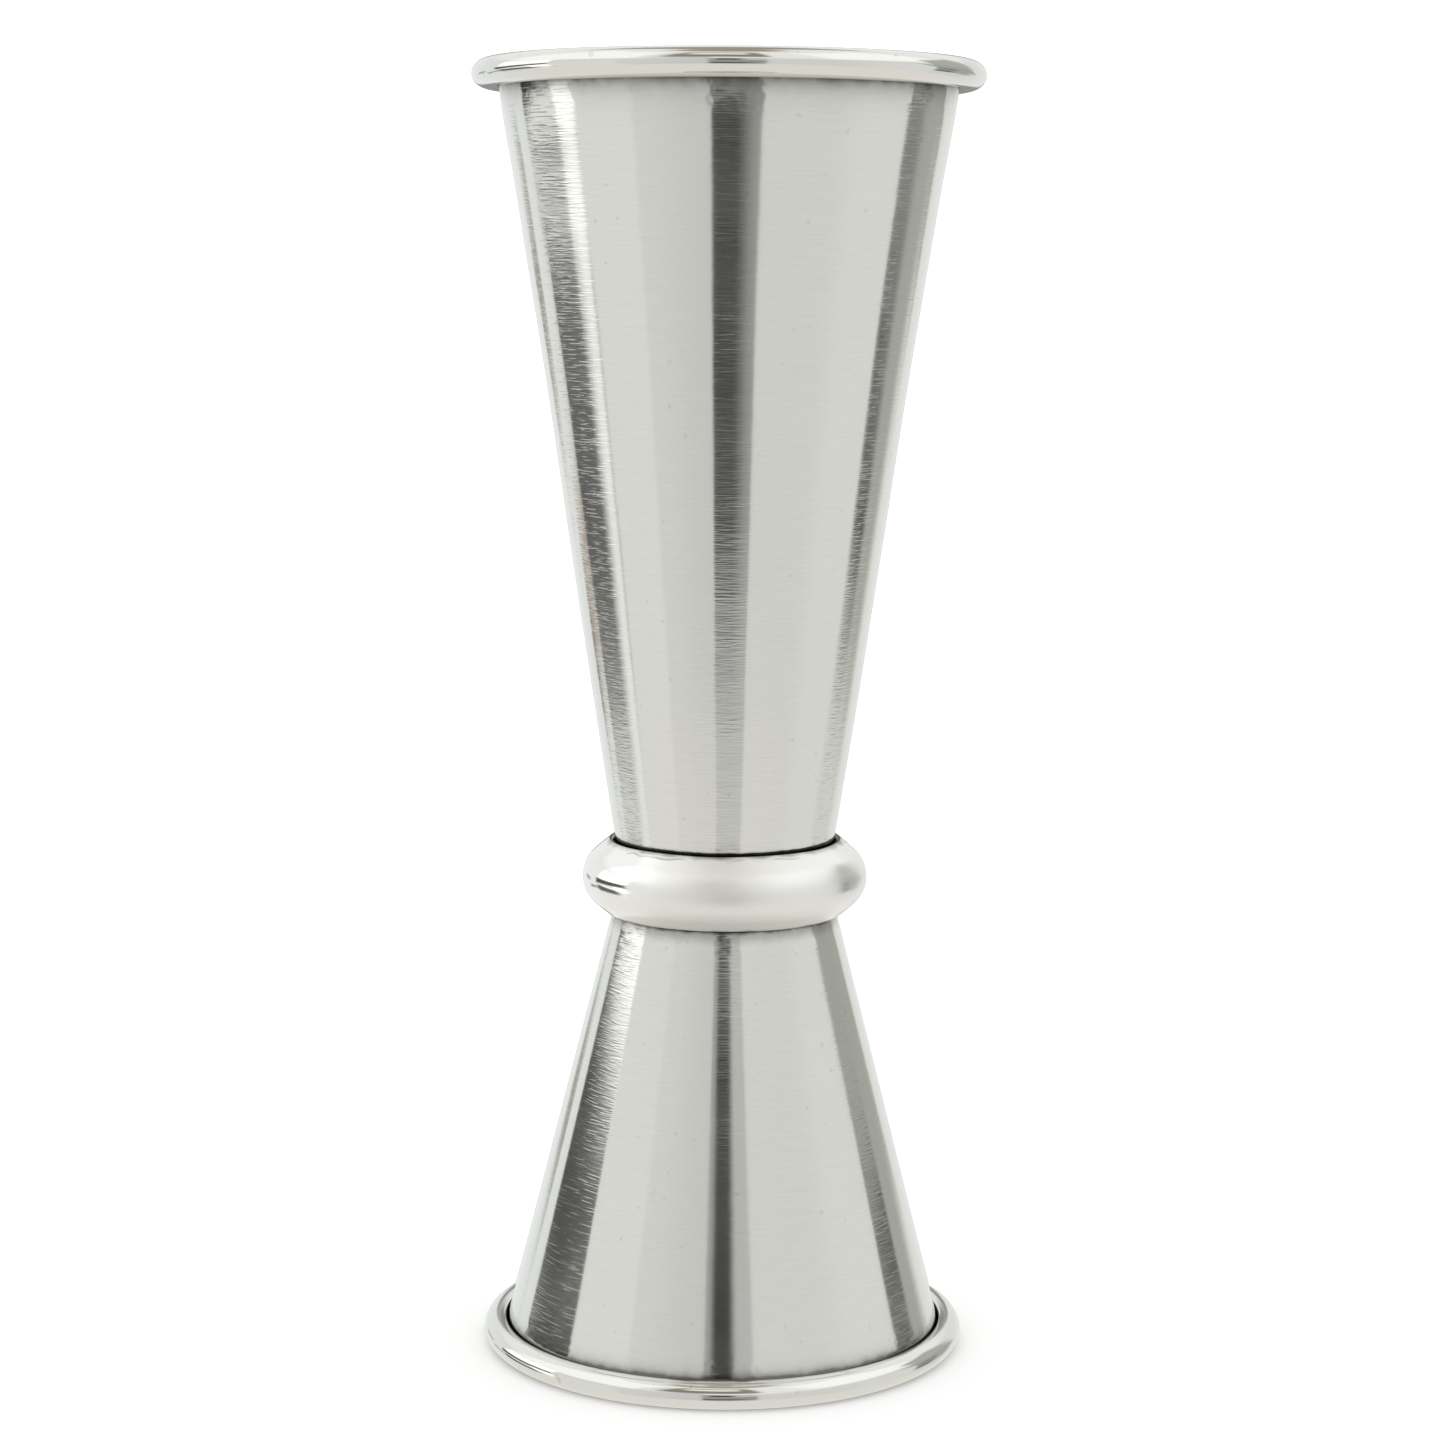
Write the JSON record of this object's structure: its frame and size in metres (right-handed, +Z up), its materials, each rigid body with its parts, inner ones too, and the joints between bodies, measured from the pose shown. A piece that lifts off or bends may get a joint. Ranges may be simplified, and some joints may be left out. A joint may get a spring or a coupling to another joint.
{
  "type": "bar jigger",
  "caption": "Double-ended conical bar measure: two sheet-steel cups joined foot to foot, with a half-round collar at the waist and a curled bead round each mouth.",
  "frame": {"origin": "centre of the small cup's rim, at the level of the surface that the measure stands on", "axes": "+Z up the common axis of both cups, from the small cup's mouth to the large cup's mouth; +X and +Y are any two level directions"},
  "size_m": [0.0468, 0.0468, 0.12],
  "materials": {
    "large_cup_steel": "satin, finely brushed round the cup, with a polished bead",
    "small_cup_steel": "satin, finely brushed round the cup, with a polished bead",
    "collar_steel": "polished",
    "weld_metal": "as welded, dull grey"
  },
  "bodies": {
    "root": {"large_cup": "large_cup_steel", "small_cup": "small_cup_steel", "collar_ring": "collar_steel", "weld_nugget": "weld_metal"}
  },
  "joints": []
}
